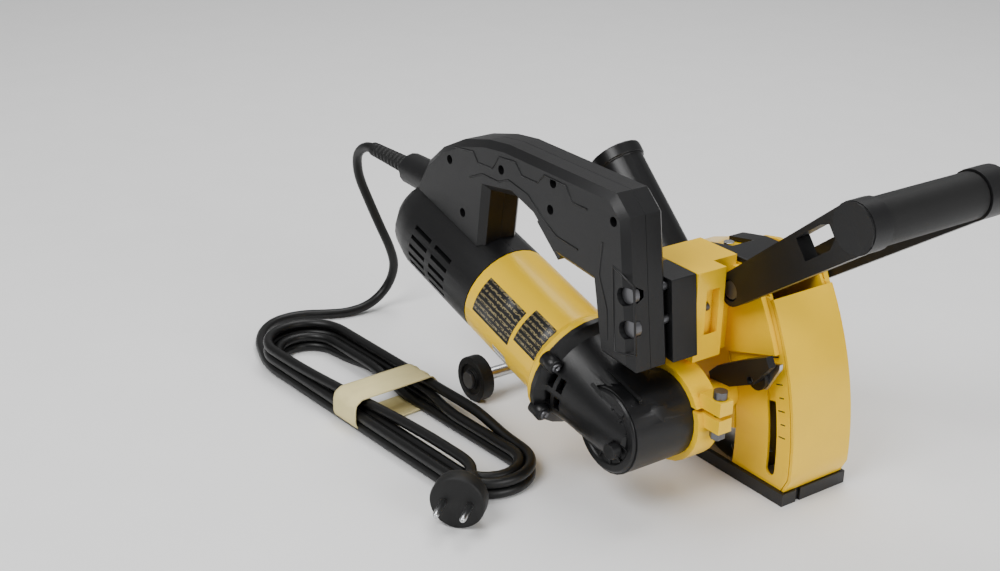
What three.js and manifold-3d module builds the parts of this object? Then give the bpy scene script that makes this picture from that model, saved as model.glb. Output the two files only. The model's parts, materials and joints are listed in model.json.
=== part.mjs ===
// Twin-disc wall chaser with its mains lead, as separate named pieces. Millimetres, +Z up.
// Working frame: X forward, Y to the far side, Z up, origin on the floor at the shoe's near front corner.
import * as THREE from 'three';
import { mergeVertices } from 'three/addons/utils/BufferGeometryUtils.js';
import Module from 'manifold-3d';

const wasm = await Module();
wasm.setup();

const GAP = 0.3;
const SHEET = 2.5;
const DEG = Math.PI / 180;

// Where the finished frame's origin (bottom centre of the machine) lies in the working frame.
const ORIGIN = { x: -134.25, y: -16.55 };

const SHOE = { rear: -268, front: 2, width: 64, plate: 3.5, rim: 10 };
const SLOT = { rear: -122, front: -5, near: 12, far: 52 };
const PIVOT = { x: -237, z: 28, pin: 5 };
const BAND = { outer: 242.5, inner: 240, top: 150 };
const HOOD = { flush: 184, reach: 238 };
const SPINDLE = { x: -65.7, y: -84.1, z: 64.2, r: 6.9, near: -104, far: 56 };
const DISC = { r: 62.5, thick: 2.2, near: 17, far: 45 };
const MOTOR = { tilt: 15.3, r: 38.3, wall: 3.2, front: 62.3, joint: 160, rear: 279 };
const GEARS = { crown: 20, crownTeeth: 20, pinion: 4.6, pinionTip: 6, pinionTeeth: 5 };
const STOP = { radius: 222, angle: 17.3, lowest: -1.6, rod: 3.6, slot: 4.2 };
const HANDLE = { near: -104, far: -68, mid: -86, wall: 3 };
const BAIL = { x: -51.5, z: 152.8, gripX: 66, gripZ: 241, hub: 12, shear: 0.116 };
const ROLLER = { x: -256, z: 18.4, r: 18.4, near: -91, far: -80.2 };
const CORD = { r: 4.1, plugR: 20 };
const HANK = { x0: -385, y0: -166, x1: -152, y1: -150, half: 38, height: 26.5 };

const YELLOW = ['#eebb2a', 0.42, 0];
const BLACK = ['#1a1a1b', 0.55, 0];
const RUBBER = ['#161616', 0.8, 0];
const STEEL = ['#a9abad', 0.35, 1];
const DARK_STEEL = ['#3c3d40', 0.45, 0.8];
const COPPER = ['#b5713c', 0.4, 0.9];
const CREAM = ['#e2d49a', 0.85, 0];

// ---- solids ----------------------------------------------------------------------------------

function solid(geometry) {
  geometry.deleteAttribute('normal');
  geometry.deleteAttribute('uv');
  const merged = mergeVertices(geometry, 1e-4);
  return new wasm.Manifold(new wasm.Mesh({
    numProp: 3,
    vertProperties: new Float32Array(merged.attributes.position.array),
    triVerts: new Uint32Array(merged.index.array),
  }));
}

function box(x0, x1, y0, y1, z0, z1) {
  const geometry = new THREE.BoxGeometry(x1 - x0, y1 - y0, z1 - z0);
  return solid(geometry.translate((x0 + x1) / 2, (y0 + y1) / 2, (z0 + z1) / 2));
}

// An outline in the XZ plane, drawn out along Y; holes are outlines too.
function prism(points, y0, y1, holes = []) {
  const shape = new THREE.Shape(points.map(([x, z]) => new THREE.Vector2(x, z)));
  shape.holes = holes.map((hole) => new THREE.Path(hole.map(([x, z]) => new THREE.Vector2(x, z))));
  const geometry = new THREE.ExtrudeGeometry(shape, { depth: y1 - y0, bevelEnabled: false });
  return solid(geometry.rotateX(Math.PI / 2).translate(0, y1, 0));
}

// The same with rounded long edges; inset draws the whole outline in by that much.
function rounded(points, y0, y1, bevel, inset = 0) {
  const shape = new THREE.Shape(points.map(([x, z]) => new THREE.Vector2(x, z)));
  const geometry = new THREE.ExtrudeGeometry(shape, {
    depth: y1 - y0 - 2 * bevel,
    bevelThickness: bevel,
    bevelSize: bevel,
    bevelOffset: -bevel - inset,
    bevelSegments: 1,
  });
  return solid(geometry.rotateX(Math.PI / 2).translate(0, y1 - bevel, 0));
}

// A round bar along Y.
function rod(x, z, r, y0, y1, sides = 16) {
  const geometry = new THREE.CylinderGeometry(r, r, y1 - y0, sides);
  return solid(geometry.translate(x, (y0 + y1) / 2, z));
}

// A round bar standing up along Z.
function post(x, y, r, z0, z1, sides = 12) {
  const geometry = new THREE.CylinderGeometry(r, r, z1 - z0, sides).rotateX(Math.PI / 2);
  return solid(geometry.translate(x, y, (z0 + z1) / 2));
}

// A round bar along X that may taper from its rear radius to its front radius.
function peg(y, z, x0, x1, rearR, frontR = rearR, sides = 20) {
  const geometry = new THREE.CylinderGeometry(rearR, frontR, x1 - x0, sides).rotateZ(Math.PI / 2);
  return solid(geometry.translate((x0 + x1) / 2, y, z));
}

function tube(x, z, outer, inner, y0, y1, sides = 24) {
  return rod(x, z, outer, y0, y1, sides).subtract(rod(x, z, inner, y0 - 1, y1 + 1, sides));
}

// A profile of [distance behind the spindle, radius] turned about the motor axis (local -X).
function turned(profile, sides = 32) {
  const points = profile.map(([d, r]) => new THREE.Vector2(r, d));
  return solid(new THREE.LatheGeometry(points, sides).rotateZ(Math.PI / 2));
}

function sleeveOf(d0, d1, outer, inner, sides = 32) {
  return turned([[d0, 0], [d0, outer], [d1, outer], [d1, 0]], sides)
    .subtract(turned([[d0 - 1, 0], [d0 - 1, inner], [d1 + 1, inner], [d1 + 1, 0]], sides));
}

function arc(cx, cz, r, fromDeg, toDeg, steps) {
  return Array.from({ length: steps + 1 }, (_, i) => {
    const a = (fromDeg + ((toDeg - fromDeg) * i) / steps) * DEG;
    return [cx + r * Math.cos(a), cz + r * Math.sin(a)];
  });
}

function around(radius, fromDeg, toDeg, steps) {
  return arc(PIVOT.x, PIVOT.z, radius, fromDeg, toDeg, steps);
}

function union(parts) {
  return parts.reduce((sum, part) => sum.add(part));
}

function move(shape, matrix) {
  return shape.transform(matrix.elements);
}

// ---- tree ------------------------------------------------------------------------------------

const model = new THREE.Group();
model.name = 'wall_chaser';
model.position.set(-ORIGIN.x, -ORIGIN.y, 0);

const motorFrame = new THREE.Group();
motorFrame.name = 'motor_frame';
motorFrame.position.set(SPINDLE.x, SPINDLE.y, SPINDLE.z);
motorFrame.rotation.y = MOTOR.tilt * DEG;
motorFrame.updateMatrix();
model.add(motorFrame);

function piece(name, shape, [color, roughness, metalness], parent = model) {
  const { vertProperties, triVerts, numProp } = shape.getMesh();
  const positions = new Float32Array((vertProperties.length / numProp) * 3);
  for (let i = 0; i < positions.length / 3; i += 1) {
    positions.set(vertProperties.subarray(i * numProp, i * numProp + 3), i * 3);
  }
  const geometry = new THREE.BufferGeometry();
  geometry.setAttribute('position', new THREE.BufferAttribute(positions, 3));
  geometry.setIndex(new THREE.BufferAttribute(new Uint32Array(triVerts), 1));
  geometry.computeVertexNormals();
  const mesh = new THREE.Mesh(geometry, new THREE.MeshStandardMaterial({ color, roughness, metalness }));
  mesh.name = name;
  parent.add(mesh);
}

// A shape made in the motor's frame, brought to the working frame for a cut.
function fromMotor(shape) {
  return move(shape, motorFrame.matrix);
}

// ---- base ------------------------------------------------------------------------------------

function buildShoe() {
  const { rear, front, width, plate, rim } = SHOE;
  const blank = box(rear, front, 0, width, 0, rim);
  const tray = box(rear - 1, front - 3, 2.1, width - 2.1, plate, rim + 1);
  const ledges = [[0, 5.6], [width - 5.6, width]].map(([y0, y1]) => box(-49, front, y0, y1, 0, rim));
  const slot = box(SLOT.rear, SLOT.front, SLOT.near, SLOT.far, -1, plate + 1);
  const notch = box(front - 2, front + 1, 14, 18, -1, rim + 1);
  const earOutline = [[rear, 0.5], [-212, 0.5], [-228, 37], [-246, 37], [rear, 26]];
  const earHole = rod(PIVOT.x, PIVOT.z, PIVOT.pin + GAP, -1, width + 1);
  const barHole = rod(ROLLER.x, ROLLER.z, 5 + GAP, -5, 7);
  const ears = [[0, 2.1], [width - 2.1, width]].map(([y0, y1]) => prism(earOutline, y0, y1));
  const boss = rod(ROLLER.x, ROLLER.z, 8.5, -4, 2, 14);
  return union([blank.subtract(tray), ...ledges, ...ears, boss]).subtract(slot).subtract(notch)
    .subtract(earHole).subtract(barHole);
}

function guardPanel(y0, y1) {
  const start = Math.asin((SHOE.rim + GAP - PIVOT.z) / 185) / DEG;
  const top = Math.asin((BAND.top - PIVOT.z) / 185) / DEG;
  const frontTop = Math.asin((BAND.top - PIVOT.z) / BAND.inner) / DEG;
  const edge = BAND.inner - 2 * GAP;
  const outline = [
    ...around(185, top, start, 14),
    [-3.2, SHOE.rim + GAP],
    ...around(edge, -1.6, frontTop, 18),
  ];
  return prism(outline, y0, y1);
}

function arcSlot(y0, y1) {
  const high = STOP.angle + 0.3;
  const outline = [
    ...around(STOP.radius - STOP.slot, high, STOP.lowest, 10),
    ...around(STOP.radius + STOP.slot, STOP.lowest, high, 10),
  ];
  const ends = [high, STOP.lowest].map((angle) => {
    const [[x, z]] = around(STOP.radius, angle, angle, 1);
    return rod(x, z, STOP.slot, y0, y1, 12);
  });
  return union([prism(outline, y0, y1), ...ends]);
}

function buildBand() {
  const topAngle = Math.asin((BAND.top - PIVOT.z) / BAND.outer) / DEG;
  const outline = [
    [0, SHOE.rim + GAP],
    ...around(BAND.outer, -1.6, topAngle, 18),
    ...around(BAND.inner, topAngle, -1.6, 18),
    [-2.5, SHOE.rim + GAP],
  ];
  return prism(outline, 3, 61);
}

function buildSpring() {
  const turns = 3;
  const coil = new THREE.CatmullRomCurve3(Array.from({ length: turns * 8 + 1 }, (_, i) => {
    const a = (i / 8) * 2 * Math.PI;
    return new THREE.Vector3(PIVOT.x + 8 * Math.cos(a), 20 + i * 0.6, PIVOT.z + 8 * Math.sin(a));
  }));
  const section = new THREE.Shape(arc(0, 0, 1.1, 0, 300, 5).map(([x, y]) => new THREE.Vector2(x, y)));
  return solid(new THREE.ExtrudeGeometry(section, { steps: turns * 8, extrudePath: coil }));
}

function buildBase() {
  piece('shoe_plate', buildShoe(), DARK_STEEL);
  piece('outer_guard_near', guardPanel(3, 5).subtract(arcSlot(2, 6)), YELLOW);
  piece('outer_guard_far', guardPanel(59, 61), YELLOW);
  piece('outer_guard_band', buildBand(), YELLOW);
  piece('pivot_pin', rod(PIVOT.x, PIVOT.z, PIVOT.pin, -2, SHOE.width + 2, 20)
    .add(rod(PIVOT.x, PIVOT.z, 8, -4.5, -GAP, 20)), STEEL);
  piece('return_spring', buildSpring(), STEEL);
  const bar = rod(ROLLER.x, ROLLER.z, 5, ROLLER.far + GAP, 1.9, 12)
    .add(rod(ROLLER.x, ROLLER.z, 4, ROLLER.near, ROLLER.far + 1, 12))
    .subtract(rod(ROLLER.x, ROLLER.z, 2.3, ROLLER.near - 1, ROLLER.near + 16, 10));
  piece('outrigger_bar', bar, STEEL);
  piece('roller_screw', rod(ROLLER.x, ROLLER.z, 7, ROLLER.near - 2.8, ROLLER.near - GAP, 12)
    .add(rod(ROLLER.x, ROLLER.z, 2, ROLLER.near - 1, ROLLER.near + 14, 10)), DARK_STEEL);
  const tyre = tube(ROLLER.x, ROLLER.z, ROLLER.r, 4.4, ROLLER.near, ROLLER.far, 24);
  const dish = tube(ROLLER.x, ROLLER.z, 13, 8.4, ROLLER.near - 1, ROLLER.near + 2, 16);
  piece('outrigger_roller', tyre.subtract(dish), RUBBER);
}

// ---- hood ------------------------------------------------------------------------------------

// The hood's top line from front to rear.
const HOOD_TOP = [
  [-38, 157], [-48, 162], [-60, 164], [-85, 164], [-110, 159], [-150, 144], [-176, 122], [-188, 95], [-190, 36],
];
const HOOD_UNDER = [
  [-40, 153], [-49, 159], [-60, 161.4], [-84.6, 161.4], [-109, 156.5], [-148.5, 142], [-173.8, 120.7],
  [-185.5, 94.6], [-187.5, 36],
];
const PORT = { x: -158, y: 32, z: 118, length: 108, outer: 19.5, inner: 17, leanX: -0.739, leanZ: 0.674 };

function portShape(radius, from, to, sides = 20) {
  const geometry = new THREE.CylinderGeometry(radius, radius, to - from, sides).translate(0, (from + to) / 2, 0);
  const up = new THREE.Vector3(0, 1, 0);
  const lean = new THREE.Vector3(PORT.leanX, 0, PORT.leanZ).normalize();
  geometry.applyQuaternion(new THREE.Quaternion().setFromUnitVectors(up, lean));
  return solid(geometry.translate(PORT.x, PORT.y, PORT.z));
}

function hoodSide(flush, nested) {
  const flushFace = [
    [-226, 14], [-250, 20], [-250, 36], [-212, 60], [-190, 90], [-188, 95], [-176, 122],
    [-150, 144], [-110, 157.5], ...around(HOOD.flush, 44.5, 3.2, 12),
  ];
  const nestedFace = [...around(HOOD.reach - 0.5, 12, 30, 6), ...HOOD_TOP.slice(0, 5), ...around(165, 46, 12, 10)];
  return prism(flushFace, ...flush).add(prism(nestedFace, ...nested));
}

function cheek(y0, y1) {
  const face = [...around(236, 21, 31.5, 4), ...HOOD_TOP.slice(0, 4), [-100, 161], [-100, 98], [-64, 98]];
  return prism(face, y0, y1);
}

function hoodShell(y0, y1) {
  return prism([...HOOD_TOP, ...[...HOOD_UNDER].reverse()], y0, y1);
}

function stopCentre() {
  return around(STOP.radius, STOP.angle, STOP.angle, 1)[0];
}

function collar() {
  const { x, z } = SPINDLE;
  const ring = tube(x, z, 36.5, 30.4, -57, -40, 28);
  const back = rod(x, z, 36.5, -40.5, -37, 28);
  const ears = box(-36, -15, -52, -40, 66, 90).subtract(rod(x, z, 30.4, -58, -40.5, 28));
  const split = box(-42, -14, -58, -40, 76.5, 79.5);
  return ring.add(back).add(ears).subtract(split);
}

function buildHoodNear() {
  const { x, z } = SPINDLE;
  const bracket = box(-104, -66, -45, 3, 100, 171).add(box(-70, -53, -45, -19.2, 104, 171));
  const recess = prism([[-60, 118], [-52, 124], [-52, 156], [-60, 160]], -36, -24);
  const neck = rod(x, z, 13.5, -38, 2.7, 20).add(rod(x, z, 9, 0, 8, 16));
  const body = union([
    hoodSide([2.4, 5.5], [5.3, 7.8]), hoodShell(5.3, 31.85), cheek(-1.7, 2.7), bracket, neck, collar(),
  ]);
  const [sx, sz] = stopCentre();
  const holes = [
    rod(x, z, SPINDLE.r + 0.6, -58, 12, 20), rod(PIVOT.x, PIVOT.z, PIVOT.pin + GAP, 0, 8),
    rod(BAIL.x, BAIL.z, 4.3, -3, 3), rod(sx, sz, STOP.rod - 0.6, -3, 12, 12),
    rod(-62, 165, 3.5, -46, -28, 12), rod(-58, 142, 3.5, -46, -28, 12),
    post(-22, -46, 3.3, 64, 92), portShape(PORT.outer + GAP, -10, 70), post(-96, 24, 2.3, 150, 170), recess,
  ];
  return body.subtract(union(holes));
}

function buildHoodFar() {
  const body = union([hoodSide([58.5, 61.6], [56.2, 58.7]), hoodShell(32.15, 58.7), cheek(61.3, 65.7)]);
  const holes = [
    rod(PIVOT.x, PIVOT.z, PIVOT.pin + GAP, 56, 63), rod(BAIL.x, BAIL.z, 4.3, 61, 67),
    portShape(PORT.outer + GAP, -10, 70),
  ];
  return body.subtract(union(holes));
}

function stripPart(from, to, y0, y1) {
  const line = HOOD_TOP.slice(from, to);
  return prism([...line.map(([x, z]) => [x, z + 4]), ...line.reverse().map(([x, z]) => [x, z + GAP])], y0, y1);
}

function buildHood() {
  piece('inner_hood_near', buildHoodNear(), YELLOW);
  piece('inner_hood_far', buildHoodFar(), YELLOW);
  piece('hood_top_strip', union([stripPart(1, 4, 6, 52), stripPart(2, 5, 6, 17), stripPart(2, 5, 37, 52)]), BLACK);
  piece('hood_screw', post(-96, 24, 1.9, 154, 164).add(post(-96, 24, 4, 163, 166)), STEEL);
  const port = portShape(PORT.outer, 0, PORT.length).add(portShape(21.5, PORT.length - 10, PORT.length));
  piece('dust_port', port.subtract(portShape(PORT.inner, -1, PORT.length + 1)), BLACK);
  piece('clamp_bolt', post(-22, -46, 2.9, 58, 92).add(post(-22, -46, 5.2, 90.3, 96)), DARK_STEEL);
  piece('clamp_nut', post(-22, -46, 5.8, 60, 65.7, 6).subtract(post(-22, -46, 3.2, 59, 67)), DARK_STEEL);
  const [sx, sz] = stopCentre();
  const bolt = rod(sx, sz, STOP.rod - 0.9, -12, 11, 12).add(rod(sx, sz, 5, 8.1, 11, 6));
  piece('depth_bolt', bolt, STEEL);
  const lever = prism([[-66, 84], [-64, 79.5], [-44, 81], [-22, 92], [-8, 110], [-12, 117], [-34, 106], [-58, 92]],
    -15.5, -9).add(rod(sx, sz, 9, -9.5, -5.5, 16));
  piece('depth_lever', lever.subtract(rod(sx, sz, STOP.rod - 0.6, -16, -5, 12)), BLACK);
  const pointer = prism([[sx - 8, sz - 8], [sx + 6, sz - 8], [-8, 106], [-8, 110], [sx - 8, sz + 8]], -5.2, -2);
  piece('depth_pointer', pointer.subtract(rod(sx, sz, STOP.rod - 0.6, -6, -1, 12)), STEEL);
}

// ---- main handle -----------------------------------------------------------------------------

const HANDLE_OUTLINE = [
  [-319, 150], [-315, 172], [-303, 191], [-284, 207], [-256, 221], [-225, 229], [-200, 232], [-80, 232],
  [-65, 219], [-50, 112], [-86, 114], [-97, 164], [-138, 168], [-166, 189], [-190, 196], [-222, 191],
  [-228, 138],
].reverse();
const SCREWS = [[-269, 202], [-203, 213], [-142, 221], [-251, 165], [-144, 201], [-76, 214]];
const POST_BOLTS = [[-62, 165], [-58, 142]];

function triggerOutline(grow, outward, inward) {
  const along = [0.778, -0.628];
  const inside = [0.628, 0.778];
  const at = (base, a, b) => base.map((value, i) => value + along[i] * a + inside[i] * b);
  const rear = [-168, 186];
  const front = [-142, 165];
  return [at(rear, -grow, inward), at(rear, -grow, -outward), at(front, grow, -outward), at(front, grow, inward)];
}

function buildHandle() {
  const { near, far, mid, wall } = HANDLE;
  const skin = rounded(HANDLE_OUTLINE, near, far, 5);
  const core = rounded(HANDLE_OUTLINE, near + wall, far - wall, 4, wall);
  const bosses = [
    ...SCREWS.map(([x, z]) => rod(x, z, 5.6, near + 2, far - 2, 10)),
    ...POST_BOLTS.map(([x, z]) => rod(x, z, 9, near + 2, far - 2, 12)),
  ];
  const cuts = union([
    ...SCREWS.map(([x, z]) => rod(x, z, 3.6, near - 1, near + 7, 12)),
    ...POST_BOLTS.map(([x, z]) => rod(x, z, 6.6, near - 1, near + 10, 12).add(rod(x, z, 3.5, near, far + 1, 12))),
    prism(triggerOutline(0.5, 14, 14), mid - 8.5, mid + 8.5),
    fromMotor(turned([[150, 0], [150, MOTOR.r + 0.4], [290, MOTOR.r + 0.4], [290, 0]], 28)),
    peg(-84.1, 167, -360, -290, 14.4),
  ]);
  const body = skin.subtract(core).add(union(bosses).intersect(skin)).subtract(cuts);
  const halves = { near: box(-400, 0, near - 1, mid - 0.15, 0, 300), far: box(-400, 0, mid + 0.15, far + 1, 0, 300) };
  Object.entries(halves).forEach(([side, half]) => {
    const parts = body.intersect(half).decompose();
    const largest = parts.reduce((a, b) => (a.volume() > b.volume() ? a : b));
    piece(`handle_shell_${side}`, largest, BLACK);
  });
  POST_BOLTS.forEach(([x, z], i) => {
    const head = rod(x, z, 6.2, near + 4, near + 9.7, 12);
    piece(`handle_bolt_${i ? 'lower' : 'upper'}`, head.add(rod(x, z, 3.2, near + 6, -30, 12)), DARK_STEEL);
  });
  const spacer = prism([[-80, 116], [-48, 112], [-55, 171], [-86, 171]], far + GAP, -45.3);
  const bores = union(POST_BOLTS.map(([x, z]) => rod(x, z, 3.5, far - 1, -44, 12)));
  piece('handle_spacer', spacer.subtract(bores), BLACK);
  const pull = prism(triggerOutline(0, 6, 9), mid - 8, mid + 8);
  const lip = prism(triggerOutline(0, -8.5, 11), mid - 10, mid + 10);
  piece('trigger', pull.add(lip), BLACK);
  piece('trigger_switch', box(-196, -160, mid - 8, mid + 8, 202, 220), BLACK);
}

// ---- motor and gear case, in the motor's frame: x = -d, y = 0 on the axis, -y near, +y hood ----

function buildGearCase() {
  const body = union([
    turned([[-25, 0], [-25, 20], [-18, 28], [0, 32], [40, 35.5], [54, 38], [58, 46], [62, 46], [62, 0]], 28)
      .subtract(box(-39, 60, 27, 60, -60, 60)),
    rod(0, 0, 32, -24, 27, 28),
    rod(0, 0, 29.8, 20, 43, 28),
  ]);
  const rib = new THREE.Matrix4();
  const ribs = [22, 35, 48].map((lean) => {
    rib.makeRotationX(lean * DEG);
    return move(box(-24, 12, -1.2, 1.2, 27, 36), rib);
  });
  const louvres = [-55, -46.5].flatMap((x) => [-13, 3].map((z) => box(x, x + 5.5, -60, -20, z, z + 11)));
  const cuts = union([
    rod(0, 0, 26, 2, 17, 20), rod(0, 0, 11.3, -20.3, -11.7, 16), rod(0, 0, SPINDLE.r + 0.6, -13, 44, 16),
    rod(0, 0, 13.3, 26.5, 44, 16),
    turned([[0, 0], [0, 7.5], [28, 7.5], [28, 0]], 16), turned([[27, 0], [27, 13.3], [39, 13.3], [39, 0]], 16),
    turned([[38, 0], [38, 32.5], [63, 32.5], [63, 0]], 24),
    rod(16, -3, 2.9, -45, 4, 10), rod(16, -3, 6.2, -45, -23, 12), ...louvres,
  ]);
  piece('gear_case', union([body, ...ribs]).subtract(cuts), BLACK, motorFrame);
  const button = rod(16, -3, 5.8, -35, -27.5, 12).add(rod(16, -3, 2.5, -29, -1, 10));
  piece('lock_button', button, BLACK, motorFrame);
}

function rearHousing() {
  const { joint, rear, r } = MOTOR;
  const skin = turned([[joint + GAP, 0], [joint + GAP, r], [250, r], [268, 34], [rear, 25], [rear, 0]], 28);
  const hollow = turned([[joint - 1, 0], [joint - 1, 34.8], [248, 34.8], [264, 31], [rear - 4, 22], [rear - 4, 0]], 24);
  const seat = sleeveOf(246, 254, 35.2, 11.3, 20);
  const holders = [-1, 1].map((side) => {
    const outer = box(-176, -162, Math.min(side * 35.5, side * 14.5), Math.max(side * 35.5, side * 14.5), -7, 7);
    const inner = box(-174.3, -163.7, Math.min(side * 31, side * 14), Math.max(side * 31, side * 14), -4.3, 4.3);
    return outer.subtract(inner);
  });
  const boss = move(peg(-84.1, 167, -352, -296, 13, 14, 16), motorFrame.matrix.clone().invert());
  const socket = move(peg(-84.1, 167, -353, -320, 7.6, 7.6, 14), motorFrame.matrix.clone().invert());
  const louvres = [-212, -240].flatMap((x) => [0, 1, 2, 3, 4].map((row) => {
    const z = -18 + row * 8;
    return box(x, x + 22, -45, -28, z, z + 3.4).add(box(x, x + 22, 28, 45, z, z + 3.4));
  }));
  return union([skin.subtract(hollow), seat, ...holders, boss.subtract(hollow)]).subtract(socket)
    .subtract(union(louvres));
}

function buildMotor() {
  const { r, wall, front, joint } = MOTOR;
  const skirt = turned([[front, 0], [front, 45], [67, 45], [74, r], [joint, r], [joint, 0]], 32);
  const bore = turned([[front - 1, 0], [front - 1, r - wall], [joint + 1, r - wall], [joint + 1, 0]], 28);
  piece('motor_housing', skirt.subtract(bore), YELLOW, motorFrame);
  piece('stator', sleeveOf(92, 148, r - wall - 2 * GAP, 22.4, 20), DARK_STEEL, motorFrame);
  const rearShell = rearHousing();
  piece('rear_housing_near', rearShell.intersect(box(-400, 0, -60, -0.15, -60, 90)), BLACK, motorFrame);
  piece('rear_housing_far', rearShell.intersect(box(-400, 0, 0.15, 60, -60, 90)), BLACK, motorFrame);
  [['near', -31, -13.4], ['far', 13.4, 31]].forEach(([side, y0, y1]) => {
    piece(`brush_${side}`, box(-174, -164, y0 + 0.3, y1 - 0.3, -4, 4), DARK_STEEL, motorFrame);
  });
  piece('cord_sleeve', peg(-84.1, 167, -412, -321, 5.9, 7.3, 12), RUBBER);
}

function buildArmature() {
  const spigot = turned([[15, 0], [15, 2.1], [27, 2.1], [27, 0]], 10);
  piece('armature_shaft', turned([[26, 0], [26, 5], [258, 5], [258, 0]], 12).add(spigot), STEEL, motorFrame);
  const { pinion, pinionTip, pinionTeeth } = GEARS;
  const teeth = Array.from({ length: pinionTeeth }, (_, i) => {
    const turn = new THREE.Matrix4().makeRotationX((i * 2 * Math.PI) / pinionTeeth);
    return move(box(-25.7, -14.8, pinion - 1, pinionTip, -0.9, 0.9), turn);
  });
  piece('pinion', sleeveOf(14.8, 25.7, pinion, 2.4, 10).add(union(teeth)), STEEL, motorFrame);
  const slots = Array.from({ length: 8 }, (_, i) => {
    const turn = new THREE.Matrix4().makeRotationX((i * Math.PI) / 4);
    return move(box(-150, -90, 17.5, 23, -1.2, 1.2), turn);
  });
  piece('armature_core', sleeveOf(92, 148, 21.6, 5.3, 24).subtract(union(slots)), STEEL, motorFrame);
  piece('commutator', sleeveOf(160, 178, 13, 5.3, 16), COPPER, motorFrame);
  const vanes = Array.from({ length: 7 }, (_, i) => {
    const turn = new THREE.Matrix4().makeRotationX((i * 2 * Math.PI) / 7);
    return move(box(-57, -46, 9, 29, -0.9, 0.9), turn);
  });
  piece('fan', sleeveOf(44, 47, 30, 5.3, 20).add(sleeveOf(46, 57, 9.5, 5.3, 12)).add(union(vanes)), BLACK, motorFrame);
  piece('bearing_front', sleeveOf(28.3, 37, 13, 5.3, 16), STEEL, motorFrame);
  piece('bearing_rear', sleeveOf(246.5, 253.5, 11, 5.3, 16), STEEL, motorFrame);
}

// ---- spindle and discs, turning about the spindle's axis --------------------------------------

function buildDisc(y0) {
  const { x, z } = SPINDLE;
  const { r, thick } = DISC;
  const gaps = Array.from({ length: 8 }, (_, i) => {
    const a = (i * Math.PI) / 4;
    return rod(x + 51 * Math.cos(a), z + 51 * Math.sin(a), 3, y0 - 1, y0 + thick + 1, 8);
  });
  return tube(x, z, r, SPINDLE.r + GAP, y0, y0 + thick, 48).subtract(union(gaps));
}

function buildSpindle() {
  const { x, y, z, r, near, far } = SPINDLE;
  const { near: nearDisc, far: farDisc, thick } = DISC;
  const shoulder = rod(x, z, 11, 9.6, 12.4, 16);
  piece('spindle', rod(x, z, r, near, far, 16).add(shoulder), STEEL);
  const crownY = y + 6.7;
  const { crown, crownTeeth } = GEARS;
  const teeth = Array.from({ length: crownTeeth }, (_, i) => {
    const turn = new THREE.Matrix4().makeRotationY(((i + 0.5) * 2 * Math.PI) / crownTeeth + MOTOR.tilt * DEG);
    return move(box(crown - 4.5, crown + 4, -1.6, 0.5, -1, 1), turn).translate([x, crownY, z]);
  });
  const wheel = tube(x, z, crown + 4, r + GAP, crownY, crownY + 6, 20);
  piece('crown_gear', wheel.add(union(teeth)), STEEL);
  piece('bearing_spindle_near', tube(x, z, 11, r + GAP, y - 20, y - 12, 16), STEEL);
  piece('bearing_spindle_hood', tube(x, z, 13, r + GAP, y + 27, y + 42, 16), STEEL);
  piece('inner_flange', tube(x, z, 19, r + GAP, 12.7, nearDisc - GAP, 20), STEEL);
  piece('disc_near', buildDisc(nearDisc), STEEL);
  piece('disc_spacer', tube(x, z, 17, r + GAP, nearDisc + thick + GAP, farDisc - GAP, 20), STEEL);
  piece('disc_far', buildDisc(farDisc), STEEL);
  const flats = rod(x, z, 14, farDisc + thick + GAP, 53, 6).subtract(rod(x, z, r + GAP, 40, 60, 16));
  piece('spindle_nut', flats, STEEL);
}

// ---- front handle ----------------------------------------------------------------------------

function buildFrontHandle() {
  const { x, z, gripX, gripZ, hub } = BAIL;
  const lean = Math.atan2(gripZ - z, gripX - x) / DEG;
  const armOutline = [...arc(x, z, hub, lean + 90, lean + 270, 10), ...arc(gripX, gripZ, 17, lean - 90, lean + 90, 10)];
  const window = [[14, 216], [24, 203], [46, 219], [50, 228], [44, 236], [36, 233]];
  const shear = (rate) => {
    const alongX = Math.cos(lean * DEG) * rate;
    const alongZ = Math.sin(lean * DEG) * rate;
    const matrix = new THREE.Matrix4();
    matrix.elements[1] = alongX;
    matrix.elements[9] = alongZ;
    matrix.elements[13] = -alongX * x - alongZ * z;
    return matrix;
  };
  const nearArm = move(prism(armOutline, -16, -3.6, [window]), shear(-BAIL.shear));
  const farArm = move(prism(armOutline, 67.2, 79), shear(0.088));
  const cross = rod(gripX, gripZ, 8.7, -20, 85, 16);
  const rings = rod(gripX, gripZ, 17.5, -33, -17, 24).add(rod(gripX, gripZ, 17.5, 77, 97, 24));
  const bores = union([[-22, -12], [76, 86]].map(([y0, y1]) => rod(x, z, 8, y0, y1, 14)));
  const body = union([nearArm, farArm, cross, rings]).subtract(rod(x, z, 4.3, -22, 86, 12)).subtract(bores);
  piece('front_handle', body, BLACK);
  piece('grip_sleeve', tube(gripX, gripZ, 16, 9, -16.5, 76.6, 24), RUBBER);
  piece('handle_pivot_near', rod(x, z, 4, -13, 2.6, 12).add(rod(x, z, 7, -15, -12.3, 12)), DARK_STEEL);
  piece('handle_pivot_far', rod(x, z, 4, 61.4, 77, 12).add(rod(x, z, 7, 76.3, 79, 12)), DARK_STEEL);
}

// ---- mains lead ------------------------------------------------------------------------------

const LEAD = [
  [-413.2, -84.1, 167], [-421, -84.1, 166], [-432.5, -84, 160.5], [-442.2, -82.3, 150], [-446.5, -78, 131], [-445, -69, 106],
  [-442, -60, 82], [-440.5, -51.5, 61], [-442, -46.5, 43], [-445, -49, 26.5], [-447, -59, 13.5],
  [-447.5, -74, 6.5], [-449.5, -92, 4.5], [-456, -109, 4.5], [-464, -124, 4.5], [-467.5, -140, 4.5],
  [-465, -156, 4.5], [-454, -170.5, 4.5], [-438, -180, 4.5], [-423.6, -184.5, 4.5],
];

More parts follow.
